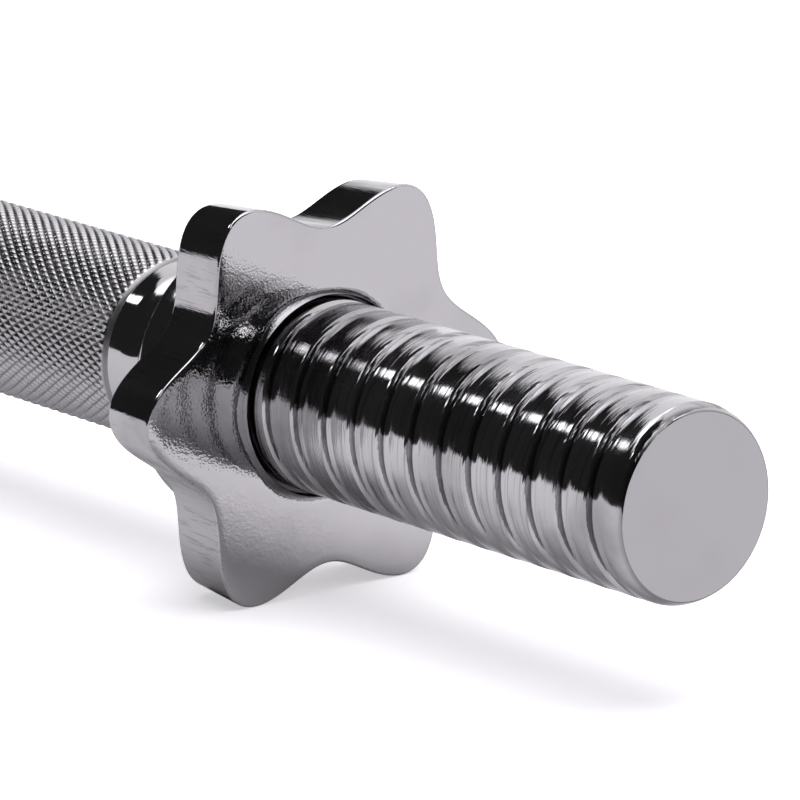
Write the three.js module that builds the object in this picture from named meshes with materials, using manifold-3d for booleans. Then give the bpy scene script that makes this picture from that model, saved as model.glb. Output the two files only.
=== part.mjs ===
// Adjustable dumbbell: a one-piece threaded bar with a knurled grip, two pinned inner collars and two
// six-lobed star nuts, each with a rubber ring let into its inner face.
//
// Millimetres, +Z up. The origin is the middle of the bar, on its axis, and +X runs along the bar.
// Everything on the left side is the right side turned half a turn about Z, so both threads are
// right-handed.

import * as THREE from 'three';
import { mergeVertices } from 'three/addons/utils/BufferGeometryUtils.js';
import Module from 'manifold-3d';

const wasm = await Module();
wasm.setup();

// Fineness of the round surfaces.
const TURN_STEPS = 20;
const LOBE_STEPS = 12;
const STEP_ANGLE = (2 * Math.PI) / TURN_STEPS;

// Gap left between pieces that touch, and the reach of a cutter past the surface that it cuts.
const GAP = 0.3;
const OVERCUT = 1;

// Bar.
const BAR_HALF_LENGTH = 152.5;
const BAR_RADIUS = 12.5;
const END_FACE_RADIUS = 11.6;
const END_ROUND_RADIUS = 12.2;
const END_ROUND_LENGTH = 0.6;
const END_TAPER_LENGTH = 2;
const GRIP_HALF_LENGTH = 50.8;
const GRIP_CHAMFER_LENGTH = 0.6;
const NECK_RADIUS = 12.1;
const NECK_COVE_START = 54;
const NECK_COVE_END = 57;
const NECK_WAIST_RADIUS = 11.5;

// Thread: a wide flat crest and a narrow groove, 4.5 turns to the inch.
const THREAD_PITCH = 25.4 / 4.5;
const GROOVE_DEPTH = 1;
const GROOVE_MOUTH_WIDTH = 1.5;
const GROOVE_FLOOR_WIDTH = 0.9;
const GROOVE_EXIT_ANGLE = THREE.MathUtils.degToRad(153);
const THREAD_INNER_END = 72.5;
const FLANK_CLEARANCE = 0.25;

// Inner collar, on a full-size seat, and the spring pin through both.
const COLLAR_RADIUS = 19;
const COLLAR_INNER_FACE = 65.4;
const COLLAR_OUTER_FACE = 72.2;
const COLLAR_EDGE_ROUND = 1.5;
const SEAT_SETBACK = 0.8;
const PIN_CENTRE = (COLLAR_INNER_FACE + COLLAR_OUTER_FACE) / 2;
const PIN_RADIUS = 2;
const PIN_WALL = 0.8;
const PIN_SLOT_HALF_ANGLE = THREE.MathUtils.degToRad(15);
const PIN_SETBACK = 0.4;
const PIN_ARC_STEPS = 14;

// Rubber ring and star nut.
const RING_INNER_RADIUS = 13.2;
const RING_OUTER_RADIUS = 18;
const RING_THICKNESS = 1.6;
const RING_INNER_FACE = COLLAR_OUTER_FACE + GAP;
const NUT_INNER_FACE = RING_INNER_FACE + GAP;
const NUT_THICKNESS = 9.3;
const NUT_DRAFT_SHARE = 0.03;
const NUT_LOBES = 6;
const NUT_MEAN_RADIUS = 25.3;
const NUT_LOBE_HEIGHT = 3.5;
const NUT_LOBE_SHARPNESS = 0.2;
const NUT_EDGE_BEVEL = 0.5;
const NUT_MOUTH_RADIUS = 13.2;

// Materials.
const chrome = new THREE.MeshStandardMaterial({ color: 0xb9babd, metalness: 1, roughness: 0.18 });
const castChrome = new THREE.MeshStandardMaterial({ color: 0xaeafb3, metalness: 1, roughness: 0.3 });
const springSteel = new THREE.MeshStandardMaterial({ color: 0x6f7175, metalness: 1, roughness: 0.45 });
const rubber = new THREE.MeshStandardMaterial({ color: 0x1b1b1c, metalness: 0, roughness: 0.8 });

// Turns a closed three.js geometry into a manifold solid.
function solidFrom(geometry) {
  const bare = new THREE.BufferGeometry();
  bare.setAttribute('position', geometry.getAttribute('position').clone());
  if (geometry.index) bare.setIndex(geometry.index.clone());
  const merged = mergeVertices(bare, 1e-4);
  const corners = merged.index.array;
  const kept = [];
  for (let i = 0; i < corners.length; i += 3) {
    const [a, b, c] = [corners[i], corners[i + 1], corners[i + 2]];
    if (a !== b && b !== c && c !== a) kept.push(a, b, c);
  }
  const vertProperties = new Float32Array(merged.getAttribute('position').array);
  return new wasm.Manifold(new wasm.Mesh({ numProp: 3, vertProperties, triVerts: new Uint32Array(kept) }));
}

// Turns a manifold solid back into a three.js geometry.
function geometryFrom(solid) {
  const { vertProperties, triVerts } = solid.getMesh();
  const geometry = new THREE.BufferGeometry();
  geometry.setAttribute('position', new THREE.BufferAttribute(new Float32Array(vertProperties), 3));
  geometry.setIndex(new THREE.BufferAttribute(new Uint32Array(triVerts), 1));
  geometry.computeVertexNormals();
  return geometry;
}

// Revolves [radius, x] points about the X axis.
function turned(points) {
  const profile = points.map(([radius, x]) => new THREE.Vector2(radius, x));
  return new THREE.LatheGeometry(profile, TURN_STEPS).rotateZ(-Math.PI / 2);
}

// A plain round bar from one x to another.
function disc(radius, from, to) {
  return turned([[0, from], [radius, from], [radius, to], [0, to]]);
}

// A circular rod along Z, centred over a point of the X axis.
function uprightRod(radius, halfLength, x) {
  const rod = new THREE.CylinderGeometry(radius, radius, 2 * halfLength, TURN_STEPS);
  return rod.rotateX(Math.PI / 2).translate(x, 0, 0);
}

// The x of the groove's centre line at an angle from +Y towards +Z. It leaves the end face at
// GROOVE_EXIT_ANGLE, and each full turn back from there is one pitch further in.
function grooveCentre(angle) {
  return BAR_HALF_LENGTH + (THREAD_PITCH * (angle - GROOVE_EXIT_ANGLE)) / (2 * Math.PI);
}

// The step nearest to the angle at which the groove's centre line crosses an x.
function grooveStepAt(x) {
  const angle = GROOVE_EXIT_ANGLE + ((x - BAR_HALF_LENGTH) * 2 * Math.PI) / THREAD_PITCH;
  return Math.round(angle / STEP_ANGLE);
}

// Steps fall halfway between the corners of the turned surfaces, so no two edges nearly coincide.
function grooveStepAngle(step) {
  return (step + 0.5) * STEP_ANGLE;
}

// Groove width at a radius, from the slope of its flanks.
function grooveWidthAt(radius) {
  const share = (BAR_RADIUS - radius) / GROOVE_DEPTH;
  return GROOVE_MOUTH_WIDTH + (GROOVE_FLOOR_WIDTH - GROOVE_MOUTH_WIDTH) * share;
}

// A closed helical bar along the groove's centre line, with a four-cornered section that is
// narrower than the groove by the given clearance on each flank.
function helicalBar(fromX, toX, innerRadius, outerRadius, clearance) {
  const innerHalf = grooveWidthAt(innerRadius) / 2 - clearance;
  const outerHalf = grooveWidthAt(outerRadius) / 2 - clearance;
  const section = [
    [innerRadius, -innerHalf],
    [innerRadius, innerHalf],
    [outerRadius, outerHalf],
    [outerRadius, -outerHalf],
  ];
  const firstStep = grooveStepAt(fromX);
  const lastStep = grooveStepAt(toX);
  const positions = [];
  for (let step = firstStep; step <= lastStep; step += 1) {
    const angle = grooveStepAngle(step);
    for (const [radius, offset] of section) {
      positions.push(grooveCentre(angle) + offset, radius * Math.cos(angle), radius * Math.sin(angle));
    }
  }
  const index = [0, 2, 1, 0, 3, 2];
  const lastRow = (lastStep - firstStep) * 4;
  for (let row = 0; row < lastRow; row += 4) {
    for (let corner = 0; corner < 4; corner += 1) {
      const a = row + corner;
      const b = row + ((corner + 1) % 4);
      index.push(a, b, b + 4, a, b + 4, a + 4);
    }
  }
  index.push(lastRow, lastRow + 1, lastRow + 2, lastRow, lastRow + 2, lastRow + 3);
  const geometry = new THREE.BufferGeometry();
  geometry.setAttribute('position', new THREE.Float32BufferAttribute(positions, 3));
  geometry.setIndex(index);
  return geometry;
}

// One half of the bar's outline, from the middle of the grip to the end face.
function halfBarOutline() {
  const seatStart = COLLAR_INNER_FACE + SEAT_SETBACK;
  return [
    [BAR_RADIUS, GRIP_HALF_LENGTH - GRIP_CHAMFER_LENGTH],
    [NECK_RADIUS, GRIP_HALF_LENGTH],
    [NECK_RADIUS, NECK_COVE_START],
    [NECK_WAIST_RADIUS, NECK_COVE_END],
    [NECK_WAIST_RADIUS, seatStart],
    [BAR_RADIUS, seatStart + BAR_RADIUS - NECK_WAIST_RADIUS],
    [BAR_RADIUS, BAR_HALF_LENGTH - END_TAPER_LENGTH],
    [END_ROUND_RADIUS, BAR_HALF_LENGTH - END_ROUND_LENGTH],
    [END_FACE_RADIUS, BAR_HALF_LENGTH],
    [0, BAR_HALF_LENGTH],
  ];
}

// The upright hole through a collar and the bar inside it.
function pinHole() {
  return uprightRod(PIN_RADIUS + GAP, COLLAR_RADIUS + OVERCUT, PIN_CENTRE);
}

function barGeometry() {
  const half = halfBarOutline();
  const otherHalf = half.map(([radius, x]) => [radius, -x]).reverse();
  const blank = solidFrom(turned([...otherHalf, ...half]));
  const cutterRadius = BAR_RADIUS + OVERCUT;
  const floorRadius = BAR_RADIUS - GROOVE_DEPTH;
  const groove = helicalBar(THREAD_INNER_END, BAR_HALF_LENGTH + THREAD_PITCH, floorRadius, cutterRadius, 0);
  const rightCut = solidFrom(groove).add(solidFrom(pinHole()));
  const leftCut = rightCut.rotate([0, 0, 180]);
  return geometryFrom(blank.subtract(rightCut).subtract(leftCut));
}

// A quarter-round corner of the collar's section, as [radius, x] points.
function collarCorner(x, towards) {
  const points = [];
  for (const angle of [0, 30, 60, 90].map(THREE.MathUtils.degToRad)) {
    points.push([
      COLLAR_RADIUS - COLLAR_EDGE_ROUND * (1 - Math.sin(angle)),
      x + towards * COLLAR_EDGE_ROUND * (1 - Math.cos(angle)),
    ]);
  }
  return points;
}

function collarGeometry() {
  const boreRadius = BAR_RADIUS + GAP;
  const section = [
    [boreRadius, COLLAR_INNER_FACE],
    ...collarCorner(COLLAR_INNER_FACE, 1),
    ...collarCorner(COLLAR_OUTER_FACE, -1).reverse(),
    [boreRadius, COLLAR_OUTER_FACE],
    [boreRadius, COLLAR_INNER_FACE],
  ];
  return geometryFrom(solidFrom(turned(section)).subtract(solidFrom(pinHole())));
}

// A rolled spring pin: a tube with one open slot along its length.
function pinGeometry() {
  const from = PIN_SLOT_HALF_ANGLE;
  const to = 2 * Math.PI - PIN_SLOT_HALF_ANGLE;
  const shape = new THREE.Shape();
  shape.absarc(0, 0, PIN_RADIUS, from, to, false);
  shape.absarc(0, 0, PIN_RADIUS - PIN_WALL, to, from, true);
  const length = 2 * (COLLAR_RADIUS - PIN_SETBACK);
  const tube = new THREE.ExtrudeGeometry(shape, {
    depth: length,
    bevelEnabled: false,
    curveSegments: PIN_ARC_STEPS,
  });
  return geometryFrom(solidFrom(tube.translate(PIN_CENTRE, 0, -length / 2)));
}

function ringGeometry() {
  const outerFace = RING_INNER_FACE + RING_THICKNESS;
  return geometryFrom(solidFrom(turned([
    [RING_INNER_RADIUS, RING_INNER_FACE],
    [RING_OUTER_RADIUS, RING_INNER_FACE],
    [RING_OUTER_RADIUS, outerFace],
    [RING_INNER_RADIUS, outerFace],
    [RING_INNER_RADIUS, RING_INNER_FACE],
  ])));
}

// The star outline, with a lobe's tip 30 degrees either side of straight down so that the dumbbell
// stands on two lobes at each end.
function starShape() {
  const shape = new THREE.Shape();
  const steps = NUT_LOBES * LOBE_STEPS;
  for (let step = 0; step < steps; step += 1) {
    const angle = (2 * Math.PI * step) / steps;
    const radius = NUT_MEAN_RADIUS - NUT_EDGE_BEVEL
      - NUT_LOBE_HEIGHT * Math.cos(NUT_LOBES * angle)
      + NUT_LOBE_SHARPNESS * Math.cos(2 * NUT_LOBES * angle);
    const point = [radius * Math.cos(angle), radius * Math.sin(angle)];
    if (step === 0) shape.moveTo(...point);
    else shape.lineTo(...point);
  }
  shape.closePath();
  return shape;
}

// Narrows a solid's section evenly from full size at the outer face, as a casting's draft does.
function withDraft(geometry, outerFace) {
  const position = geometry.getAttribute('position');
  for (let i = 0; i < position.count; i += 1) {
    const depth = outerFace - position.getX(i);
    const scale = 1 - (NUT_DRAFT_SHARE * depth) / NUT_THICKNESS;
    position.setXYZ(i, position.getX(i), position.getY(i) * scale, position.getZ(i) * scale);
  }
  return geometry;
}

function nutGeometry() {
  const outerFace = NUT_INNER_FACE + NUT_THICKNESS;
  const star = new THREE.ExtrudeGeometry(starShape(), {
    depth: NUT_THICKNESS - 2 * NUT_EDGE_BEVEL,
    bevelThickness: NUT_EDGE_BEVEL,
    bevelSize: NUT_EDGE_BEVEL,
    bevelSegments: 1,
  });
  star.rotateY(Math.PI / 2).translate(NUT_INNER_FACE + NUT_EDGE_BEVEL, 0, 0);

  const boreRadius = BAR_RADIUS + GAP;
  const ridgeTip = BAR_RADIUS - GROOVE_DEPTH + GAP;
  const ridgeRoot = boreRadius + GAP;
  const ridge = helicalBar(
    NUT_INNER_FACE - THREAD_PITCH,
    outerFace + THREAD_PITCH,
    ridgeTip,
    ridgeRoot,
    FLANK_CLEARANCE,
  );
  const bore = disc(boreRadius, NUT_INNER_FACE - OVERCUT, outerFace + OVERCUT);

  // The recess and the 45-degree mouth are cut last, and they also cut the ridge's two loose ends.
  const looseEnd = 2 * THREAD_PITCH;
  const recessFloor = RING_INNER_FACE + RING_THICKNESS + GAP;
  const recess = disc(RING_OUTER_RADIUS + GAP, NUT_INNER_FACE - looseEnd, recessFloor);
  const mouthDepth = NUT_MOUTH_RADIUS - ridgeTip;
  const mouth = turned([
    [0, outerFace - mouthDepth],
    [ridgeTip, outerFace - mouthDepth],
    [NUT_MOUTH_RADIUS + looseEnd, outerFace + looseEnd],
    [0, outerFace + looseEnd],
  ]);
  const drafted = solidFrom(withDraft(star, outerFace));
  const threaded = drafted.subtract(solidFrom(bore)).add(solidFrom(ridge));
  return geometryFrom(threaded.subtract(solidFrom(recess)).subtract(solidFrom(mouth)));
}

// Geometries shared by both sides, placed as they stand on the right.
const collar = collarGeometry();
const pin = pinGeometry();
const ring = ringGeometry();
const nut = nutGeometry();

function named(name, geometry, material) {
  const mesh = new THREE.Mesh(geometry, material);
  mesh.name = name;
  return mesh;
}

function sideGroup(side, turnAboutZ) {
  const group = new THREE.Group();
  group.add(named(`${side}_collar`, collar, chrome));
  group.add(named(`${side}_collar_pin`, pin, springSteel));
  group.add(named(`${side}_rubber_ring`, ring, rubber));
  group.add(named(`${side}_star_nut`, nut, castChrome));
  group.rotation.z = turnAboutZ;
  return group;
}

const dumbbell = new THREE.Group();
dumbbell.add(named('bar', barGeometry(), chrome));
dumbbell.add(sideGroup('right', 0));
dumbbell.add(sideGroup('left', Math.PI));

export default dumbbell;
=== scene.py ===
"""Looks for the adjustable dumbbell: fine chromed meshes for the CAD nodes, a pale floor, soft studio
light and a camera close to one end of the bar.

Everything is in metres in the CAD frame: +X along the bar, +Z up, origin in the middle of the bar.
An angle round the bar is counted from +Y towards +Z. Each side's pieces are built as they stand on
the right, and the left ones are the same points turned half a turn about Z.
"""

import math

import bmesh
import bpy
import numpy as np
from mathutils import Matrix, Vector


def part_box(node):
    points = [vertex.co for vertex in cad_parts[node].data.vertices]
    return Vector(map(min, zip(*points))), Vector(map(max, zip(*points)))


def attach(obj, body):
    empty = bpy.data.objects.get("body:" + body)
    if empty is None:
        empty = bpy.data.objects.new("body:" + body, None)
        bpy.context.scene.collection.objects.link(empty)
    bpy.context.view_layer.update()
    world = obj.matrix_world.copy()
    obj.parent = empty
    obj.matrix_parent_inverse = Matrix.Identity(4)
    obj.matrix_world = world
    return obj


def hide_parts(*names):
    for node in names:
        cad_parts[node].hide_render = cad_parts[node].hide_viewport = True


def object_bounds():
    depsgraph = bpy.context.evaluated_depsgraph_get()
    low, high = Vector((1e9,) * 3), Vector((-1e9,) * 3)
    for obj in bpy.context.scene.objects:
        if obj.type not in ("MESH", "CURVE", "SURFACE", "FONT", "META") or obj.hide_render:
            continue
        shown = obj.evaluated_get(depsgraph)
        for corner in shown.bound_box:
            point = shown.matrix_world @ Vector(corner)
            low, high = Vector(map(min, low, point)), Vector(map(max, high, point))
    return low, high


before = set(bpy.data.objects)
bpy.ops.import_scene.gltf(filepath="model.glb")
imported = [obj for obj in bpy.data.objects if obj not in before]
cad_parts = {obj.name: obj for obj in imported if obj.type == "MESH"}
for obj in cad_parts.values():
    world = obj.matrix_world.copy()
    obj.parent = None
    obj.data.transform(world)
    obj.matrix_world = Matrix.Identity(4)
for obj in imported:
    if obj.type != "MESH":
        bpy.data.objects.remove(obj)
cad_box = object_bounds()

MM = 0.001
TURN = 2 * math.pi

# Places and sizes read from the CAD nodes.
BAR_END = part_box("bar")[1].x
BAR_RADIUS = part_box("bar")[1].z
COLLAR_LOW, COLLAR_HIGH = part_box("right_collar")
COLLAR_RADIUS = COLLAR_HIGH.y
RING_LOW, RING_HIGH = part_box("right_rubber_ring")
RING_RADIUS = RING_HIGH.y
NUT_LOW, NUT_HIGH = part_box("right_star_nut")
NUT_TIP_RADIUS = NUT_HIGH.y
PIN_LOW, PIN_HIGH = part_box("right_collar_pin")
PIN_CENTRE = (PIN_LOW.x + PIN_HIGH.x) / 2
FLOOR_HEIGHT = cad_box[0].z

# Bar.
GRIP_HALF_LENGTH = 50.8 * MM
GRIP_CHAMFER = 0.5 * MM
NECK_RADIUS = 12.1 * MM
NECK_COVE_START = 53.8 * MM
NECK_COVE_END = 57.4 * MM
NECK_WAIST_RADIUS = 11.5 * MM
SEAT_SETBACK = 0.8 * MM
END_FACE_RADIUS = 11.6 * MM
END_CAP_LENGTH = 2.2 * MM
END_CAP_TAPER_POWER = 2.2
END_EDGE_ROUND = 0.25 * MM

# Where the plain stretches of the bar meet.
NECK_START = GRIP_HALF_LENGTH + 0.6 * MM
NECK_JOINT_LENGTH = 1.0 * MM
SEAT_START = COLLAR_LOW.x + SEAT_SETBACK
THREAD_START = COLLAR_HIGH.x + 0.3 * MM

# Thread: pitch, groove and the slight dip rolled into the crest.
THREAD_PITCH = 25.4 * MM / 4.5
GROOVE_EXIT_ANGLE = math.radians(153)
GROOVE_DEPTH = 1.0 * MM
GROOVE_MOUTH_HALF = 0.85 * MM
GROOVE_FLOOR_HALF = 0.35 * MM
CREST_LIP_DROP = 0.02 * MM
CREST_DIP_DEPTH = 0.12 * MM
CREST_DIP_PLACE = 1.7 * MM
CREST_DIP_END = 3.0 * MM
CREST_DIP_SOFTNESS = 0.1 * MM
CREST_LAND_EDGE = 0.4 * MM
THREAD_FADE = 1.5 * MM

# Knurl: two crossing families of grooves.
KNURL_STARTS = 60
KNURL_PITCH = 2.04 * MM
KNURL_DEPTH = 0.27 * MM
KNURL_STEPS = 4

# Where the side of a knurled groove starts and ends, in groove spacings from its centre line. The
# start below zero makes the groove's floor sharp.
KNURL_SIDE_START = -0.08
KNURL_SIDE_END = 0.375

# Fineness of the meshes: columns go round a piece, rows go along it.
BAR_COLUMNS = 80
KNURL_COLUMNS = KNURL_STARTS * KNURL_STEPS
NUT_COLUMNS = 288
COLLAR_COLUMNS = 144
PIN_COLUMNS = 41
PIN_HOLE_COLUMNS = 48
FLOOR_COLUMNS = 64
EDGE_ROWS = 5
FLANK_ROWS = 5
LIP_ROWS = 4
VALLEY_ROWS = 5
COVE_ROWS = 7
CHAMFER_ROWS = 3
END_CAP_ROWS = 15
END_FACE_SHARES = np.linspace(0.85, 0.05, 6)
NUT_BACK_SHARES = np.linspace(0, 1, 4)
NUT_RIM_SHARES = (0.03, 0.35, 0.65, 0.97)
NUT_FRONT_SHARES = np.linspace(0, 1, 9)

# Points closer than this become one, and a place this near a limit counts as at it.
WELD_DISTANCE = 1e-7
PLACE_TOLERANCE = 1e-9

# Edges sharper than these, in degrees, are shaded as creases.
CREASE_ANGLE = 40
NUT_CREASE_ANGLE = 50

# Nut: outline, edges, mouth and thread.
NUT_LOBES = 6
NUT_LOBE_HEIGHT = 3.5 * MM
NUT_LOBE_SHARPNESS = 0.2 * MM
NUT_MEAN_RADIUS = NUT_TIP_RADIUS - NUT_LOBE_HEIGHT - NUT_LOBE_SHARPNESS
NUT_FRONT_ROUND = 0.28 * MM
NUT_BACK_ROUND = 0.4 * MM
NUT_DRAFT_SHARE = 0.03
NUT_MOUTH_RADIUS = 13.1 * MM
NUT_MOUTH_DEPTH = 1.6 * MM
MOUTH_EDGE_ROUND = 0.12 * MM
NUT_THREAD_CLEARANCE = 0.2 * MM

# Rubber ring, collar and pin.
RING_GAP = 0.3 * MM
RING_EDGE_ROUND = 0.4 * MM
RING_BORE_RADIUS = 13.2 * MM
COLLAR_EDGE_ROUND = 1.5 * MM
COLLAR_BORE_GAP = 0.05 * MM
COLLAR_BORE_ROUND = 0.3 * MM
PIN_HOLE_GAP = 0.1 * MM
PIN_HOLE_OVERRUN = 1 * MM
PIN_BEVEL = 0.3 * MM
PIN_WALL = 0.8 * MM
PIN_SLOT_HALF_ANGLE = math.radians(15)

# Material slots of the bar and of a nut.
KNURL_SLOT, NECK_SLOT, THREAD_SLOT, END_FACE_SLOT = range(4)
FACE_SLOT, RIM_SLOT, BORE_SLOT = range(3)

# Chrome's own slight tinge, as shares of a grey's brightness.
CHROME_TINGE = (1.0, 0.985, 1.01)

# Brightness of the plating, clean and where it is dull or stained.
NECK_SHADES = (0.46, 0.40)
THREAD_SHADES = (0.49, 0.30)
END_FACE_SHADES = (0.42, 0.40)
NUT_FACE_SHADES = (0.50, 0.44)
NUT_RIM_SHADES = (0.43, 0.26)
COLLAR_SHADES = (0.46, 0.40)

# The same for other surfaces, darkest first. The knurl's first grey, both nut bore greys and the
# groove's grey are painted shade in those hollows. Last, the share of a groove's depth, from its top,
# kept free of painted shade.
# Painted shade: the knurl's first grey darkens its grooves, the second is the tops' own grey.
KNURL_PAINTED_GROOVE_SHADE_AND_TOP = (0.24, 0.42)
# Painted shade: near-black greys for the shade inside the nut's bore and mouth.
NUT_BORE_PAINTED_SHADES = (0.06, 0.16)
RUBBER_SHADES = (0.012, 0.03)
STEEL_SHADES = (0.22, 0.34)
FLOOR_SHADES = (0.86, 0.90)
# Painted shade: the grey of the thread's groove floor.
GROOVE_PAINTED_SHADE = 0.18
GROOVE_UNSHADED_SHARE = 0.4

# How rough each finish is, from its smoothest patches to its roughest.
NECK_ROUGHNESS = (0.04, 0.10)
THREAD_ROUGHNESS = (0.06, 0.14)
END_FACE_ROUGHNESS = (0.10, 0.18)
NUT_FACE_ROUGHNESS = (0.02, 0.06)
NUT_RIM_ROUGHNESS = (0.04, 0.10)
COLLAR_ROUGHNESS = (0.04, 0.12)
KNURL_ROUGHNESS = (0.20, 0.34)
KNURL_GROOVE_ROUGHENING = 0.15
NUT_BORE_ROUGHNESS = (0.3, 0.45)
RUBBER_ROUGHNESS = (0.5, 0.7)
STEEL_ROUGHNESS = (0.22, 0.4)

# Sizes of the blotches in each finish.
PLATING_PATCH_SIZE = 14 * MM
PLATING_GLOSS_SIZE = 6 * MM
KNURL_WEAR_SIZE = 3 * MM
NUT_BORE_PATCH_SIZE = 1.5 * MM
RUBBER_BLOOM_SIZE = 5 * MM
STEEL_PATCH_SIZE = 2 * MM
FLOOR_MOTTLE_SIZE = 400 * MM

# Relief too fine for the meshes: how wide and how deep.
KNURL_GRAIN_SIZE = 0.25 * MM
KNURL_GRAIN_DEPTH = 0.012 * MM
PEEL_SIZE = 0.35 * MM
PEEL_DEPTH = 0.016 * MM
RIPPLE_SIZE = 3 * MM
RIPPLE_DEPTH = 0.03 * MM
RUBBER_GRAIN_SIZE = 0.3 * MM
RUBBER_GRAIN_DEPTH = 0.02 * MM

# Fine lines round the bar, left by turning, rolling or polishing: spacing, depth and length.
TURNED_LINE_LENGTH = 25 * MM
TURNED_LINE_SPACING = 0.5 * MM
TURNED_LINE_DEPTH = 0.014 * MM
NUT_BORE_LINE_DEPTH = 0.02 * MM
THREAD_LINE_SPACING = 0.33 * MM
THREAD_LINE_DEPTH = 0.04 * MM
THREAD_SCRATCH_SPACING = 0.8 * MM
THREAD_SCRATCH_DEPTH = 0.013 * MM
END_FACE_LINE_SPACING = 0.4 * MM
END_FACE_LINE_DEPTH = 0.0015 * MM

# Streaks on the nut's rim and the pin: how long along X, Y and Z, and how deep.
NUT_RIM_STREAKS = (12.5 * MM, 0.4 * MM, 0.4 * MM)
NUT_RIM_STREAK_DEPTH = 0.012 * MM
STEEL_STREAKS = (MM / 3, MM / 3, 10 * MM)
STEEL_STREAK_DEPTH = 0.004 * MM

# Camera, as azimuth and elevation round a point near the bar's right end.
CAMERA_AZIMUTH = math.radians(50.95)
CAMERA_ELEVATION = math.radians(14.13)
CAMERA_DISTANCE = 0.8426
CAMERA_LENS_MM = 317.4
CAMERA_SENSOR_MM = 36
CAMERA_CLIP_START = 0.01
CAMERA_CLIP_END = 200
LOOK_AT = Vector((127.84, -25.46, 12.40)) * MM

# Studio. The light depends only on its direction. The flag is the dark part of it, bounded by two
# planes. It is the same for +X and -X, except that it reaches higher for +X by FLAG_EXTRA_REACH.
FLOOR_RADIUS = 40
FLOOR_LIFT = 0.5
ROOM_LIGHT = 1.15
CEILING_LIGHT = 3.4
CEILING_START = 0.78
CEILING_FULL = 0.95
BACKDROP_LIGHT = 1.05
FLAG_UPPER_EDGE = (0.585, -0.644, -0.493)
FLAG_SIDE_EDGE = (0.559, -0.829, 0.0)
FLAG_EXTRA_REACH = 0.15
FLAG_SOFTNESS = 0.015
FLAG_LIGHT = 0.02
LAMP_DIRECTION = (0.753, -0.265, 0.602)
LAMP_RADIUS = math.radians(4.6)
LAMP_LIGHT = 10


# ---------------------------------------------------------------- mesh tools


def column_angles(columns):
    return np.arange(columns) * TURN / columns


def on_circles(x, radius, angles):
    """Points at each x and radius round the bar. The three arrays are broadcast together."""
    x, radius, angles = np.broadcast_arrays(x, radius, angles)
    return np.stack([x, radius * np.cos(angles), radius * np.sin(angles)], axis=-1)


def closed_quads(rows, columns, wrap_shift=0):
    """Quads over a grid stored row by row, whose last column joins the first one wrap_shift rows on."""
    row, column = np.meshgrid(np.arange(rows - 1), np.arange(columns), indexing="ij")
    following = (column + 1) % columns
    shift = np.where(following == 0, wrap_shift, 0)
    inside = row + shift + 1 < rows
    near = row * columns + column
    far = (row + shift) * columns + following
    quads = np.stack([near, far, far + columns, near + columns], axis=-1)
    return quads[inside]


class Shell:
    """Collects grids of faces, then makes one mesh object of them."""

    def __init__(self):
        self.points = []
        self.faces = []
        self.slots = []
        self.count = 0

    def add(self, points, faces, slot=0):
        points = np.asarray(points).reshape(-1, 3)
        self.points.append(points)
        self.faces.extend((np.asarray(faces) + self.count).tolist())
        self.slots.extend([slot] * len(faces))
        self.count += len(points)

    def add_grid(self, grid, slot=0, wrap_shift=0):
        """Adds a grid of points whose rows run round the bar and close on themselves."""
        rows, columns = grid.shape[:2]
        self.add(grid, closed_quads(rows, columns, wrap_shift), slot)

    def add_half_turned_copy(self):
        """Adds everything so far again, turned half a turn about Z."""
        points = np.concatenate(self.points) * [-1, -1, 1]
        self.faces.extend([[i + self.count for i in face] for face in self.faces])
        self.slots.extend(self.slots)
        self.points.append(points)
        self.count *= 2

    def make(self, name, materials, half_turn=False, crease_angle=CREASE_ANGLE):
        """Makes the object, with its points welded and its faces smooth between the creases."""
        points = np.concatenate(self.points)
        if half_turn:
            points = points * [-1, -1, 1]
        mesh = bpy.data.meshes.new(name)
        mesh.from_pydata(points.tolist(), [], self.faces)
        for material in materials:
            mesh.materials.append(material)
        mesh.polygons.foreach_set("material_index", self.slots)
        work = bmesh.new()
        work.from_mesh(mesh)
        bmesh.ops.remove_doubles(work, verts=work.verts, dist=WELD_DISTANCE)
        bmesh.ops.recalc_face_normals(work, faces=work.faces)
        work.to_mesh(mesh)
        work.free()
        mesh.shade_smooth()
        mesh.set_sharp_from_angle(angle=math.radians(crease_angle))
        piece = bpy.data.objects.new(name, mesh)
        bpy.context.scene.collection.objects.link(piece)
        return piece


def quarter_round():
    """Sines and cosines from 0 to 90 degrees, for a rounded edge."""
    angles = np.linspace(0, math.pi / 2, EDGE_ROWS)
    return np.sin(angles), np.cos(angles)


def smooth_step(value, low, high):
    """0 up to low, 1 from high on, and smooth between them."""
    share = np.clip((value - low) / (high - low), 0, 1)
    return share * share * (3 - 2 * share)


# ---------------------------------------------------------------- thread


def groove_centre(angle):
    """Place along the bar of the turn of the groove that runs out at its end."""
    return BAR_END + THREAD_PITCH * (angle - GROOVE_EXIT_ANGLE) / TURN


def groove_share(offset, clearance=0.0):
    """1 on the groove's floor and 0 on the crest, at an axial offset from the groove's centre line."""
    floor, mouth = GROOVE_FLOOR_HALF - clearance, GROOVE_MOUTH_HALF - clearance
    return 1 - smooth_step(np.abs(offset), floor, mouth)


def thread_offset(x, angle):
    """Axial distance from the nearest turn of the groove, from minus to plus half a pitch."""
    turns = (x - groove_centre(angle)) / THREAD_PITCH
    return (turns - np.round(turns)) * THREAD_PITCH


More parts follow.
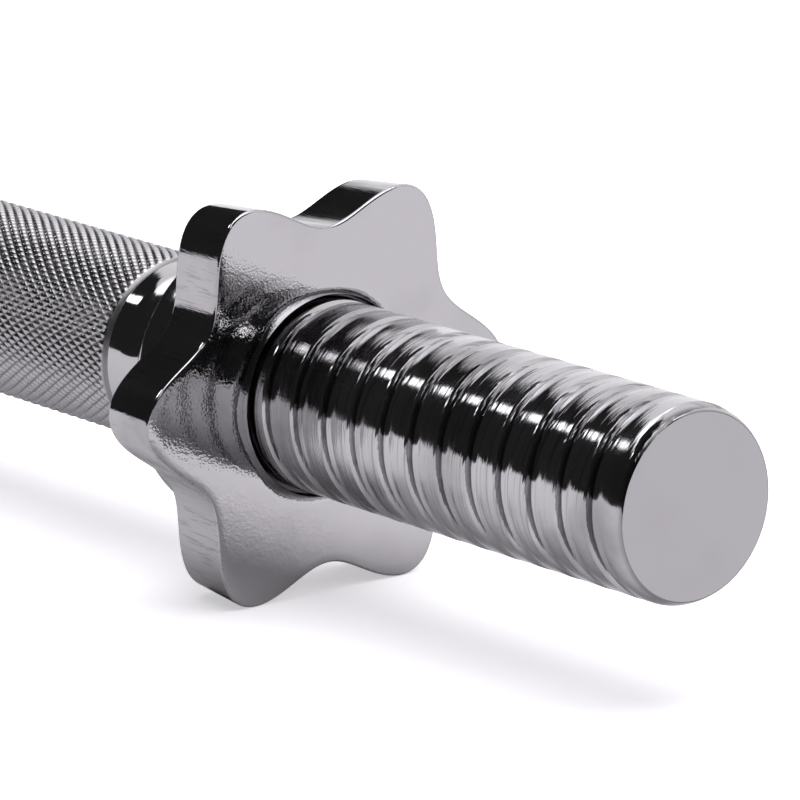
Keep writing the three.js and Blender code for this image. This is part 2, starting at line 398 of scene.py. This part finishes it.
def crest_dip(offset):
    """How far the crest lies below the full radius: a low lip, a shallow valley, then flat."""
    along = np.where(offset < 0, offset + THREAD_PITCH, offset)
    rise = np.clip((CREST_DIP_END - along) / (CREST_DIP_END - CREST_DIP_PLACE), 0, 1)
    fall = np.clip((along - GROOVE_MOUTH_HALF) / (CREST_DIP_PLACE - GROOVE_MOUTH_HALF), 0, 1)
    before = CREST_LIP_DROP + (CREST_DIP_DEPTH - CREST_LIP_DROP) * fall
    return np.where(along < CREST_DIP_PLACE, before, CREST_DIP_DEPTH * rise**2)


def bar_thread_radius(x, angle):
    offset = thread_offset(x, angle)
    fade = smooth_step(x, THREAD_START, THREAD_START + THREAD_FADE)
    return BAR_RADIUS - (GROOVE_DEPTH * groove_share(offset) + crest_dip(offset)) * fade


def nut_thread_radius(x, angle):
    ridge = groove_share(thread_offset(x, angle), clearance=NUT_THREAD_CLEARANCE / 2)
    return BAR_RADIUS + NUT_THREAD_CLEARANCE - GROOVE_DEPTH * ridge


def thread_samples():
    """Axial offsets over one pitch, closest on the groove's flanks and in the crest's valley."""
    flank = np.linspace(GROOVE_FLOOR_HALF, GROOVE_MOUTH_HALF, FLANK_ROWS)[:-1]
    lip = np.linspace(GROOVE_MOUTH_HALF, CREST_DIP_PLACE - CREST_DIP_SOFTNESS, LIP_ROWS)
    valley = np.linspace(CREST_DIP_PLACE + CREST_DIP_SOFTNESS, CREST_DIP_END, VALLEY_ROWS)
    next_mouth = THREAD_PITCH - GROOVE_MOUTH_HALF
    land = [next_mouth - CREST_LAND_EDGE, next_mouth]
    return np.concatenate([[0], flank, lip, valley, land, THREAD_PITCH - flank[::-1]])


def helical_grid(radius_at, start, end, columns):
    """A threaded tube from start to end. Rows follow the helix, and they are gathered at both ends."""
    angles = column_angles(columns)
    samples = thread_samples()
    # The spare turns at both ends are clipped away, and leave every angle covered.
    first_turn = math.floor((start - groove_centre(0)) / THREAD_PITCH) - 2
    last_turn = math.ceil((end - groove_centre(0)) / THREAD_PITCH) + 1
    turns = np.arange(first_turn, last_turn + 1) * THREAD_PITCH
    along = (turns[:, None] + samples[None, :]).ravel()
    x = np.clip(along[:, None] + groove_centre(angles)[None, :], start, end)
    return on_circles(x, radius_at(x, angles[None, :]), angles[None, :]), len(samples)


# ---------------------------------------------------------------- bar


def end_cap_grid():
    """The last of the thread, running out through the rounded end, and the flat end face."""
    angles = column_angles(BAR_COLUMNS)
    start = BAR_END - END_CAP_LENGTH
    share = np.linspace(0, 1, END_CAP_ROWS)
    x = start + (END_CAP_LENGTH - END_EDGE_ROUND) * share
    shoulder = END_FACE_RADIUS + END_EDGE_ROUND
    envelope = BAR_RADIUS - (BAR_RADIUS - shoulder) * share**END_CAP_TAPER_POWER
    sine, cosine = quarter_round()
    edge_x = BAR_END - END_EDGE_ROUND * (1 - sine)
    edge_radius = shoulder - END_EDGE_ROUND * (1 - cosine)
    x = np.concatenate([x, edge_x[1:]])
    envelope = np.concatenate([envelope, edge_radius[1:]])
    radius = np.minimum(bar_thread_radius(x[:, None], angles[None, :]), envelope[:, None])
    rim = on_circles(x[:, None], radius, angles[None, :])
    face = on_circles(BAR_END, radius[-1:] * END_FACE_SHARES[:, None], angles[None, :])
    return rim, face


def add_neck_joint(shell):
    """Joins the grip's many columns to the neck's fewer ones, with one ring of wide faces."""
    ratio = KNURL_COLUMNS // BAR_COLUMNS
    fine = on_circles(NECK_START, NECK_RADIUS, column_angles(KNURL_COLUMNS))
    coarse = on_circles(NECK_START + NECK_JOINT_LENGTH, NECK_RADIUS, column_angles(BAR_COLUMNS))
    faces = []
    for column in range(BAR_COLUMNS):
        following = (column + 1) % BAR_COLUMNS
        along_fine = [(column * ratio + i) % KNURL_COLUMNS for i in range(ratio + 1)]
        faces.append(along_fine + [KNURL_COLUMNS + following, KNURL_COLUMNS + column])
    shell.add(np.concatenate([fine, coarse]), faces, NECK_SLOT)


def add_bar_side(shell):
    """Everything outside the grip on the right: neck, collar seat, thread and end."""
    add_neck_joint(shell)
    angles = column_angles(BAR_COLUMNS)
    neck = NECK_START + NECK_JOINT_LENGTH
    # The step up to the collar's seat is as long as it is high.
    seat = SEAT_START + BAR_RADIUS - NECK_WAIST_RADIUS
    cove = np.linspace(0, 1, COVE_ROWS)
    cove_x = NECK_COVE_START + (NECK_COVE_END - NECK_COVE_START) * cove
    cove_radius = NECK_RADIUS - (NECK_RADIUS - NECK_WAIST_RADIUS) * smooth_step(cove, 0, 1)
    x = np.concatenate([[neck], cove_x, [SEAT_START, seat, THREAD_START]])
    radius = np.concatenate([[NECK_RADIUS], cove_radius, [NECK_WAIST_RADIUS, BAR_RADIUS, BAR_RADIUS]])
    shell.add_grid(on_circles(x[:, None], radius[:, None], angles[None, :]), NECK_SLOT)
    grid, shift = helical_grid(bar_thread_radius, THREAD_START, BAR_END - END_CAP_LENGTH, BAR_COLUMNS)
    shell.add_grid(grid, THREAD_SLOT, shift)
    rim, face = end_cap_grid()
    shell.add_grid(rim, THREAD_SLOT)
    shell.add_grid(np.concatenate([rim[-1:], face]), END_FACE_SLOT)
    shell.add(face[-1], [list(range(BAR_COLUMNS))], END_FACE_SLOT)


def knurl_nearness(x, angle):
    """Distance to the nearest groove of each family, in groove spacings, from 0 to one half."""
    along, around = x / KNURL_PITCH, angle * KNURL_STARTS / TURN
    first, second = along + around, along - around
    return np.abs(first - np.round(first)), np.abs(second - np.round(second))


def knurl_grid():
    """The grip's rows of points, with a chamfer at both ends."""
    step = KNURL_PITCH / KNURL_STEPS
    edge = GRIP_HALF_LENGTH - GRIP_CHAMFER
    half = np.arange(0, edge - step / 2, step)
    half = np.concatenate([half, np.linspace(edge, GRIP_HALF_LENGTH, CHAMFER_ROWS), [NECK_START]])
    x = np.concatenate([-half[:0:-1], half])[:, None]
    angles = column_angles(KNURL_COLUMNS)[None, :]
    first, second = knurl_nearness(x, angles)
    raised = smooth_step(np.minimum(first, second), KNURL_SIDE_START, KNURL_SIDE_END)
    radius = BAR_RADIUS - KNURL_DEPTH * (1 - raised)
    slope = np.clip((np.abs(x) - edge) / GRIP_CHAMFER, 0, 1)
    envelope = BAR_RADIUS - (BAR_RADIUS - NECK_RADIUS) * slope
    plain = np.abs(x) > GRIP_HALF_LENGTH - PLACE_TOLERANCE
    return on_circles(x, np.where(plain, NECK_RADIUS, np.minimum(radius, envelope)), angles)


def add_knurl(shell):
    """The grip as triangles, each square split along the family of grooves that it lies nearest."""
    grid = knurl_grid()
    quads = closed_quads(len(grid), KNURL_COLUMNS)
    middle = grid.reshape(-1, 3)[quads].mean(axis=1)
    first, second = knurl_nearness(middle[:, 0], np.arctan2(middle[:, 2], middle[:, 1]))
    # Corners a to d go round a square, so that a and c are the ends of one diagonal.
    a, b, c, d = quads.T
    along_first = (first < second)[:, None]
    one = np.where(along_first, np.stack([a, b, d], 1), np.stack([a, b, c], 1))
    two = np.where(along_first, np.stack([b, c, d], 1), np.stack([a, c, d], 1))
    shell.add(grid, np.concatenate([one, two]), KNURL_SLOT)


def build_bar(materials):
    shell = Shell()
    add_bar_side(shell)
    shell.add_half_turned_copy()
    add_knurl(shell)
    return shell.make("bar_chromed", materials)


# ---------------------------------------------------------------- star nut


def star_outline(inset, angles, draft=0.0):
    """Distances along Y and Z of the star's outline, moved inwards along its own normal.

    The draft, from 0 at the outer face to 1 at the inner face, shrinks it evenly.
    """
    radius = NUT_MEAN_RADIUS + NUT_LOBE_HEIGHT * np.cos(NUT_LOBES * angles)
    radius = radius + NUT_LOBE_SHARPNESS * np.cos(2 * NUT_LOBES * angles)
    slope = -NUT_LOBES * NUT_LOBE_HEIGHT * np.sin(NUT_LOBES * angles)
    slope = slope - 2 * NUT_LOBES * NUT_LOBE_SHARPNESS * np.sin(2 * NUT_LOBES * angles)
    tangent_y = slope * np.cos(angles) - radius * np.sin(angles)
    tangent_z = slope * np.sin(angles) + radius * np.cos(angles)
    length = np.hypot(tangent_y, tangent_z)
    y = radius * np.cos(angles) - inset * tangent_z / length
    z = radius * np.sin(angles) + inset * tangent_y / length
    return np.stack([y, z], axis=-1) * (1 - NUT_DRAFT_SHARE * draft)


def flat_row(x, across):
    """A row of points at one x, from their distances along Y and Z."""
    return np.concatenate([np.full((len(across), 1), x), across], axis=1)


def circle(radius, angles):
    return np.stack([radius * np.cos(angles), radius * np.sin(angles)], axis=-1)


def nut_back_rows(angles, recess_floor):
    """Rows from the recess's floor out over the nut's inner face."""
    inner = NUT_LOW.x
    recess = RING_RADIUS + RING_GAP
    rows = [on_circles(recess_floor, nut_thread_radius(recess_floor, angles), angles)]
    rows.append(flat_row(recess_floor, circle(recess, angles)))
    rows.append(flat_row(inner + RING_GAP, circle(recess, angles)))
    lip = circle(recess + RING_GAP, angles)
    edge = star_outline(NUT_BACK_ROUND, angles, draft=1)
    for share in NUT_BACK_SHARES:
        rows.append(flat_row(inner, lip + (edge - lip) * share))
    return np.array(rows)


def nut_rim_rows(angles):
    """Rows over the scalloped rim, with a rounded edge on both sides."""
    inner, outer = NUT_LOW.x, NUT_HIGH.x
    rows = []
    for sine, cosine in zip(*quarter_round()):
        outline = star_outline(NUT_BACK_ROUND * (1 - sine), angles, draft=1)
        rows.append(flat_row(inner + NUT_BACK_ROUND * (1 - cosine), outline))
    start, end = inner + NUT_BACK_ROUND, outer - NUT_FRONT_ROUND
    for share in NUT_RIM_SHARES:
        x = start + (end - start) * share
        rows.append(flat_row(x, star_outline(0, angles, draft=1 - share)))
    for sine, cosine in zip(*quarter_round()):
        outline = star_outline(NUT_FRONT_ROUND * (1 - cosine), angles)
        rows.append(flat_row(outer - NUT_FRONT_ROUND * (1 - sine), outline))
    return np.array(rows)


def nut_front_rows(angles):
    """Rows from the rim in over the nut's outer face to the edge of its mouth."""
    outer = NUT_HIGH.x
    edge = star_outline(NUT_FRONT_ROUND, angles)
    mouth = circle(NUT_MOUTH_RADIUS + MOUTH_EDGE_ROUND, angles)
    rows = [flat_row(outer, edge + (mouth - edge) * share) for share in NUT_FRONT_SHARES]
    rows.append(flat_row(outer - MOUTH_EDGE_ROUND, circle(NUT_MOUTH_RADIUS, angles)))
    return np.array(rows)


def nut_mouth_rows(angles, bottom):
    """Rows down the wall of the mouth and in over its floor to the thread."""
    rows = [flat_row(NUT_HIGH.x - MOUTH_EDGE_ROUND, circle(NUT_MOUTH_RADIUS, angles))]
    rows.append(flat_row(bottom, circle(NUT_MOUTH_RADIUS - MOUTH_EDGE_ROUND, angles)))
    rows.append(on_circles(bottom, nut_thread_radius(bottom, angles), angles))
    return np.array(rows)


def build_nut(side, half_turn, materials):
    angles = column_angles(NUT_COLUMNS)
    recess_floor = RING_HIGH.x + RING_GAP
    mouth_bottom = NUT_HIGH.x - NUT_MOUTH_DEPTH
    shell = Shell()
    shell.add_grid(nut_back_rows(angles, recess_floor), FACE_SLOT)
    shell.add_grid(nut_rim_rows(angles), RIM_SLOT)
    shell.add_grid(nut_front_rows(angles), FACE_SLOT)
    shell.add_grid(nut_mouth_rows(angles, mouth_bottom), BORE_SLOT)
    bore, shift = helical_grid(nut_thread_radius, recess_floor, mouth_bottom, NUT_COLUMNS)
    shell.add_grid(bore, BORE_SLOT, shift)
    return shell.make(f"{side}_nut_chromed", materials, half_turn, NUT_CREASE_ANGLE)


# ---------------------------------------------------------------- collar, pin and rubber ring


def rounded_ring_rows(low, high, inner, outer, inner_round, outer_round):
    """[x, radius] rows round the section of a ring, with rounded corners, back to the first row."""
    sine, cosine = quarter_round()
    closing, opening = 1 - sine, 1 - cosine
    corners = [
        (low + inner_round * closing, inner + inner_round * opening),
        (low + outer_round * opening, outer - outer_round * closing),
        (high - outer_round * closing, outer - outer_round * opening),
        (high - inner_round * opening, inner + inner_round * closing),
    ]
    rows = np.concatenate([np.column_stack(corner) for corner in corners])
    return np.concatenate([rows, rows[:1]])


def ring_shell(rows):
    shell = Shell()
    angles = column_angles(COLLAR_COLUMNS)
    shell.add_grid(on_circles(rows[:, 0, None], rows[:, 1, None], angles[None, :]))
    return shell


def upright_cylinder(x, radius, half_length):
    """A plain cylinder along Z, for cutting with."""
    mesh = bpy.data.meshes.new("cutter")
    work = bmesh.new()
    size = {"radius1": radius, "radius2": radius, "depth": 2 * half_length}
    bmesh.ops.create_cone(work, cap_ends=True, segments=PIN_HOLE_COLUMNS, **size)
    bmesh.ops.translate(work, verts=work.verts, vec=(x, 0, 0))
    work.to_mesh(mesh)
    work.free()
    cutter = bpy.data.objects.new("cutter", mesh)
    bpy.context.scene.collection.objects.link(cutter)
    return cutter


def cut_away(piece, cutter):
    """Takes the cutter's shape out of the piece for good."""
    cut = piece.modifiers.new("cut", "BOOLEAN")
    cut.operation = "DIFFERENCE"
    cut.solver = "EXACT"
    cut.object = cutter
    view = bpy.context.evaluated_depsgraph_get()
    piece.data = bpy.data.meshes.new_from_object(piece.evaluated_get(view))
    piece.modifiers.clear()
    bpy.data.objects.remove(cutter)


def build_collar(side, half_turn, materials):
    low, high = COLLAR_LOW.x, COLLAR_HIGH.x
    bore = BAR_RADIUS + COLLAR_BORE_GAP
    rows = rounded_ring_rows(low, high, bore, COLLAR_RADIUS, COLLAR_BORE_ROUND, COLLAR_EDGE_ROUND)
    piece = ring_shell(rows).make(f"{side}_collar_chromed", materials, half_turn)
    centre = PIN_CENTRE * (-1 if half_turn else 1)
    hole_radius = PIN_HIGH.y + PIN_HOLE_GAP
    cut_away(piece, upright_cylinder(centre, hole_radius, COLLAR_RADIUS + PIN_HOLE_OVERRUN))
    piece.data.set_sharp_from_angle(angle=math.radians(CREASE_ANGLE))
    return piece


def build_rubber_ring(side, half_turn, materials):
    low, high = RING_LOW.x, RING_HIGH.x
    edge = RING_EDGE_ROUND
    rows = rounded_ring_rows(low, high, RING_BORE_RADIUS, RING_RADIUS, edge, edge)
    return ring_shell(rows).make(f"{side}_rubber_ring_moulded", materials, half_turn)


def pin_section(z, narrowing):
    """One row round the pin's C-shaped section."""
    sweep = np.linspace(PIN_SLOT_HALF_ANGLE, TURN - PIN_SLOT_HALF_ANGLE, PIN_COLUMNS)
    outside = circle(PIN_HIGH.y - narrowing, sweep)
    inside = circle(PIN_HIGH.y - PIN_WALL, sweep[::-1])
    section = np.concatenate([outside, inside])
    return np.column_stack([PIN_CENTRE + section[:, 0], section[:, 1], np.full(len(section), z)])


def build_pin(side, half_turn, materials):
    """A rolled spring pin with an open slot and bevelled ends."""
    low, high = PIN_LOW.z, PIN_HIGH.z
    lead = 2 * PIN_BEVEL
    rows = [pin_section(low, PIN_BEVEL), pin_section(low + lead, 0)]
    rows += [pin_section(high - lead, 0), pin_section(high, PIN_BEVEL)]
    columns = len(rows[0])
    caps = [[i, i + 1, columns - 2 - i, columns - 1 - i] for i in range(columns // 2 - 1)]
    shell = Shell()
    shell.add_grid(np.array(rows))
    shell.add(rows[0], caps)
    shell.add(rows[-1], caps)
    return shell.make(f"{side}_pin_rolled", materials, half_turn)


# ---------------------------------------------------------------- material tools


class Nodes:
    """Adds nodes to a tree and joins them up. An input may be a number, a colour or another output."""

    def __init__(self, tree):
        self.tree = tree
        tree.nodes.clear()

    def add(self, kind, inputs=(), output=0, **settings):
        node = self.tree.nodes.new(kind)
        for name, value in settings.items():
            setattr(node, name, value)
        for key, value in dict(inputs).items():
            self.put(node.inputs[key], value)
        return None if output is None else node.outputs[output]

    def put(self, socket, value):
        if isinstance(value, bpy.types.NodeSocket):
            self.tree.links.new(value, socket)
        else:
            socket.default_value = value

    def math(self, operation, first, second=0.0):
        return self.add("ShaderNodeMath", {0: first, 1: second}, operation=operation)

    def step(self, value, low, high, to_low=0.0, to_high=1.0):
        """Goes smoothly from to_low to to_high as the value goes from low to high."""
        inputs = {"Value": value, "From Min": low, "From Max": high}
        inputs.update({"To Min": to_low, "To Max": to_high})
        return self.add("ShaderNodeMapRange", inputs, interpolation_type="SMOOTHSTEP")

    def blend(self, share, first, second):
        """Goes from the first colour to the second. The mix node's colours are 6, 7 and output 2."""
        inputs = {0: share, 6: first, 7: second}
        return self.add("ShaderNodeMix", inputs, output=2, data_type="RGBA")

    def place(self, stretch=(1, 1, 1)):
        """Object coordinates in metres, stretched."""
        coordinates = self.add("ShaderNodeTexCoord", output="Object")
        return self.add("ShaderNodeVectorMath", {0: coordinates, 1: stretch}, operation="MULTIPLY")

    def noise(self, size, vector=None, detail=3.0, roughness=0.5):
        """Noise with blotches about size metres wide."""
        inputs = {"Vector": vector or self.place(), "Scale": 1 / size}
        inputs.update({"Detail": detail, "Roughness": roughness})
        return self.add("ShaderNodeTexNoise", inputs)

    def streaks(self, lengths, roughness=0.5):
        """Noise with blotches as long, in metres, as lengths says along X, Y and Z."""
        stretched = self.place([1 / length for length in lengths])
        return self.noise(1.0, stretched, roughness=roughness)

    def radius(self):
        """Distance from the middle line of the bar."""
        across = self.place((0, 1, 1))
        return self.add("ShaderNodeVectorMath", {0: across}, output="Value", operation="LENGTH")

    def bump(self, height, depth, under=None):
        inputs = {"Height": height, "Distance": depth, "Strength": 1.0}
        if under:
            inputs["Normal"] = under
        return self.add("ShaderNodeBump", inputs)


def make_material(name, describe):
    """A material whose Principled inputs are what describe returns, by name."""
    material = bpy.data.materials.new(name)
    material.use_nodes = True
    nodes = Nodes(material.node_tree)
    shader = nodes.add("ShaderNodeBsdfPrincipled", describe(nodes), output="BSDF")
    nodes.add("ShaderNodeOutputMaterial", {"Surface": shader}, output=None)
    return material


def grey(value):
    return (*[value * share for share in CHROME_TINGE], 1.0)


def between_greys(nodes, share, shades):
    """Goes from the first of two shades to the second."""
    return nodes.blend(share, grey(shades[0]), grey(shades[1]))


# ---------------------------------------------------------------- materials


def plated(nodes, shades, roughness, bump, stain=None):
    """Chrome plate: mostly bright, duller in faint patches or where it is stained."""
    patches = nodes.step(nodes.noise(PLATING_PATCH_SIZE, detail=4), 0.45, 0.75)
    if stain:
        patches = nodes.math("MAXIMUM", patches, stain)
    gloss = nodes.noise(PLATING_GLOSS_SIZE, detail=5)
    return {
        "Base Color": between_greys(nodes, patches, shades),
        "Metallic": 1.0,
        "Roughness": nodes.step(gloss, 0.3, 0.8, *roughness),
        "Normal": bump,
    }


def out_of_groove(nodes, depth):
    """0 on the floor of the bar's grooves of that depth, and 1 from where their painted shade ends
    upwards.
    """
    unshaded_radius = BAR_RADIUS - GROOVE_UNSHADED_SHARE * depth
    return nodes.step(nodes.radius(), BAR_RADIUS - depth, unshaded_radius)


def chrome_knurl(nodes):
    """Rolled diamonds: bright tops, with painted shade darkening the grooves."""
    height = out_of_groove(nodes, KNURL_DEPTH)
    wear = nodes.step(nodes.noise(KNURL_WEAR_SIZE, detail=4), 0.35, 0.7, *KNURL_ROUGHNESS)
    depth = nodes.math("SUBTRACT", 1.0, height)
    in_groove = nodes.math("MULTIPLY", depth, KNURL_GROOVE_ROUGHENING)
    return {
        # Painted shade: the grey darkens towards each groove's floor.
        "Base Color": between_greys(nodes, height, KNURL_PAINTED_GROOVE_SHADE_AND_TOP),
        "Metallic": 1.0,
        "Roughness": nodes.math("ADD", wear, in_groove),
        "Normal": nodes.bump(nodes.noise(KNURL_GRAIN_SIZE), KNURL_GRAIN_DEPTH),
    }


def turned_lines(nodes, spacing):
    """Fine lines round the bar, as left by turning or polishing, from 0 to 1."""
    return nodes.streaks((spacing, TURNED_LINE_LENGTH, TURNED_LINE_LENGTH), roughness=0.6)


def chrome_neck(nodes):
    bump = nodes.bump(turned_lines(nodes, TURNED_LINE_SPACING), TURNED_LINE_DEPTH)
    return plated(nodes, NECK_SHADES, NECK_ROUGHNESS, bump)


def chrome_thread(nodes):
    """Rolled thread: crests with fine lines and a few scratches round the bar, and painted shade
    darkening the groove.
    """
    lines = turned_lines(nodes, THREAD_LINE_SPACING)
    marks = nodes.step(lines, 0.52, 0.66)
    scratches = nodes.step(turned_lines(nodes, THREAD_SCRATCH_SPACING), 0.56, 0.66)
    line_bump = nodes.bump(lines, THREAD_LINE_DEPTH)
    bump = nodes.bump(scratches, THREAD_SCRATCH_DEPTH, under=line_bump)
    values = plated(nodes, THREAD_SHADES, THREAD_ROUGHNESS, bump, stain=marks)
    height = out_of_groove(nodes, GROOVE_DEPTH)
    # Painted shade: the grey darkens towards the groove's floor.
    values["Base Color"] = nodes.blend(height, grey(GROOVE_PAINTED_SHADE), values["Base Color"])
    return values


def nut_bore_painted_shade(nodes):
    """Dull plating on the nut's thread and the wall of its mouth, its colour painted near black as
    shade inside the bore.
    """
    patches = nodes.noise(NUT_BORE_PATCH_SIZE, detail=4)
    return {
        # Painted shade: both greys are near black for the shade in the bore and mouth.
        "Base Color": between_greys(nodes, patches, NUT_BORE_PAINTED_SHADES),
        "Metallic": 1.0,
        "Roughness": nodes.step(patches, 0.3, 0.7, *NUT_BORE_ROUGHNESS),
        "Normal": nodes.bump(turned_lines(nodes, TURNED_LINE_SPACING), NUT_BORE_LINE_DEPTH),
    }


def chrome_end_face(nodes):
    """Faced end, with faint tool marks round its centre."""
    from_centre = nodes.math("DIVIDE", nodes.radius(), END_FACE_LINE_SPACING)
    rings = nodes.noise(1.0, nodes.add("ShaderNodeCombineXYZ", {"X": from_centre}), detail=2)
    bump = nodes.bump(rings, END_FACE_LINE_DEPTH)
    return plated(nodes, END_FACE_SHADES, END_FACE_ROUGHNESS, bump)


def chrome_nut_face(nodes):
    """Cast and plated: mirror-like, with the orange peel and the slow ripple of a cast skin."""
    peel = nodes.bump(nodes.noise(PEEL_SIZE, detail=1), PEEL_DEPTH)
    ripple = nodes.bump(nodes.noise(RIPPLE_SIZE, detail=2), RIPPLE_DEPTH, under=peel)
    return plated(nodes, NUT_FACE_SHADES, NUT_FACE_ROUGHNESS, ripple)


def chrome_nut_rim(nodes):
    """Rim with fine streaks along the axis."""
    streaks = nodes.streaks(NUT_RIM_STREAKS, roughness=0.6)
    marks = nodes.step(streaks, 0.52, 0.72)
    bump = nodes.bump(streaks, NUT_RIM_STREAK_DEPTH)
    return plated(nodes, NUT_RIM_SHADES, NUT_RIM_ROUGHNESS, bump, stain=marks)


def chrome_collar(nodes):
    bump = nodes.bump(turned_lines(nodes, TURNED_LINE_SPACING), TURNED_LINE_DEPTH)
    return plated(nodes, COLLAR_SHADES, COLLAR_ROUGHNESS, bump)


def black_rubber(nodes):
    """Moulded rubber with a fine grain and a faint bloom."""
    grain = nodes.noise(RUBBER_GRAIN_SIZE, detail=4)
    bloom = nodes.step(nodes.noise(RUBBER_BLOOM_SIZE), 0.4, 0.8)
    return {
        "Base Color": between_greys(nodes, bloom, RUBBER_SHADES),
        "Roughness": nodes.step(grain, 0.3, 0.7, *RUBBER_ROUGHNESS),
        "Normal": nodes.bump(grain, RUBBER_GRAIN_DEPTH),
    }


def spring_steel(nodes):
    """Drawn strip, with fine streaks along the pin."""
    streaks = nodes.streaks(STEEL_STREAKS)
    return {
        "Base Color": between_greys(nodes, nodes.noise(STEEL_PATCH_SIZE), STEEL_SHADES),
        "Metallic": 1.0,
        "Roughness": nodes.step(streaks, 0.3, 0.7, *STEEL_ROUGHNESS),
        "Normal": nodes.bump(streaks, STEEL_STREAK_DEPTH),
    }


def pale_floor(nodes):
    """Painted studio floor, with a hardly visible mottle."""
    mottle = nodes.noise(FLOOR_MOTTLE_SIZE, detail=2)
    seen = nodes.add("ShaderNodeLightPath", output="Is Camera Ray")
    return {
        "Base Color": between_greys(nodes, mottle, FLOOR_SHADES),
        "Roughness": 1.0,
        "Specular IOR Level": 0.0,
        "Emission Color": grey(1.0),
        "Emission Strength": nodes.math("MULTIPLY", seen, FLOOR_LIFT),
    }


# ---------------------------------------------------------------- assembly


def place_piece(piece, body, node):
    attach(piece, body)
    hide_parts(node)


def build_side(side, half_turn, materials):
    collar = build_collar(side, half_turn, [materials["collar"]])
    place_piece(collar, "bar", f"{side}_collar")
    pin = build_pin(side, half_turn, [materials["pin"]])
    place_piece(pin, "bar", f"{side}_collar_pin")
    ring = build_rubber_ring(side, half_turn, [materials["rubber"]])
    place_piece(ring, f"{side}_ring", f"{side}_rubber_ring")
    nut_materials = [materials[name] for name in ("nut_face", "nut_rim", "nut_bore_painted_shade")]
    nut = build_nut(side, half_turn, nut_materials)
    place_piece(nut, f"{side}_nut", f"{side}_star_nut")


def build_dumbbell():
    recipes = {
        "knurl": chrome_knurl,
        "neck": chrome_neck,
        "thread": chrome_thread,
        "end_face": chrome_end_face,
        "nut_face": chrome_nut_face,
        "nut_rim": chrome_nut_rim,
        "nut_bore_painted_shade": nut_bore_painted_shade,
        "collar": chrome_collar,
        "rubber": black_rubber,
        "pin": spring_steel,
    }
    materials = {name: make_material(name, recipe) for name, recipe in recipes.items()}
    bar = build_bar([materials[name] for name in ("knurl", "neck", "thread", "end_face")])
    place_piece(bar, "bar", "bar")
    build_side("right", False, materials)
    build_side("left", True, materials)


# ---------------------------------------------------------------- studio


def build_floor():
    mesh = bpy.data.meshes.new("studio_floor")
    across = circle(FLOOR_RADIUS, column_angles(FLOOR_COLUMNS))
    edge = np.column_stack([across, np.full(FLOOR_COLUMNS, FLOOR_HEIGHT)])
    mesh.from_pydata(edge.tolist(), [], [list(range(FLOOR_COLUMNS))])
    mesh.materials.append(make_material("pale_floor", pale_floor))
    floor = bpy.data.objects.new("studio_floor", mesh)
    bpy.context.scene.collection.objects.link(floor)


def soft_lamp(nodes, direction):
    """A small round source, brightest in its middle."""
    inputs = {0: direction, 1: LAMP_DIRECTION}
    cosine = nodes.add("ShaderNodeVectorMath", inputs, output="Value", operation="DOT_PRODUCT")
    return nodes.step(cosine, math.cos(LAMP_RADIUS), 1.0, 0.0, LAMP_LIGHT)


def beyond_edge(nodes, direction, edge, reach=0.0):
    """0 to 1 across a plane whose normal is the edge, moved back by the reach."""
    inputs = {0: direction, 1: edge}
    distance = nodes.add("ShaderNodeVectorMath", inputs, output="Value", operation="DOT_PRODUCT")
    return nodes.step(nodes.math("ADD", distance, reach), -FLAG_SOFTNESS, FLAG_SOFTNESS)


def build_world():
    """Soft white all round, with a dark flag, a small lamp and a bright ceiling.

    The flag and the lamp are there for +X and again for -X. What the camera sees directly is plain
    and pale.
    """
    world = bpy.data.worlds.new("studio")
    world.use_nodes = True
    bpy.context.scene.world = world
    nodes = Nodes(world.node_tree)
    direction = nodes.add("ShaderNodeTexCoord", output="Generated")
    x, y, z = [nodes.add("ShaderNodeSeparateXYZ", {0: direction}, output=axis) for axis in "XYZ"]
    inputs = {"X": nodes.math("ABSOLUTE", x), "Y": y, "Z": z}
    folded = nodes.add("ShaderNodeCombineXYZ", inputs)
    reach = nodes.math("MULTIPLY", nodes.math("MAXIMUM", x, 0.0), FLAG_EXTRA_REACH)
    flag = nodes.math(
        "MULTIPLY",
        beyond_edge(nodes, folded, FLAG_UPPER_EDGE, reach),
        beyond_edge(nodes, folded, FLAG_SIDE_EDGE),
    )
    room = nodes.step(z, CEILING_START, CEILING_FULL, ROOM_LIGHT, CEILING_LIGHT)
    light = nodes.math("MULTIPLY", room, nodes.step(flag, 0, 1, 1, FLAG_LIGHT))
    light = nodes.math("ADD", light, soft_lamp(nodes, folded))
    seen = nodes.add("ShaderNodeLightPath", output="Is Camera Ray")
    # The mix node's numbers are inputs 2 and 3.
    inputs = {0: seen, 2: light, 3: BACKDROP_LIGHT}
    strength = nodes.add("ShaderNodeMix", inputs, data_type="FLOAT")
    background = nodes.add("ShaderNodeBackground", {"Color": grey(1.0), "Strength": strength})
    nodes.add("ShaderNodeOutputWorld", {"Surface": background}, output=None)


def build_camera():
    camera = bpy.data.objects.new("camera", bpy.data.cameras.new("camera"))
    bpy.context.scene.collection.objects.link(camera)
    flat = math.cos(CAMERA_ELEVATION)
    back = Vector(
        (
            math.sin(CAMERA_AZIMUTH) * flat,
            -math.cos(CAMERA_AZIMUTH) * flat,
            math.sin(CAMERA_ELEVATION),
        )
    )
    camera.location = LOOK_AT + back * CAMERA_DISTANCE
    camera.rotation_euler = back.to_track_quat("Z", "Y").to_euler()
    camera.data.sensor_width = CAMERA_SENSOR_MM
    camera.data.lens = CAMERA_LENS_MM
    camera.data.clip_start = CAMERA_CLIP_START
    camera.data.clip_end = CAMERA_CLIP_END
    bpy.context.scene.camera = camera


build_dumbbell()
build_floor()
build_world()
build_camera()
bpy.context.scene.view_settings.view_transform = "Standard"
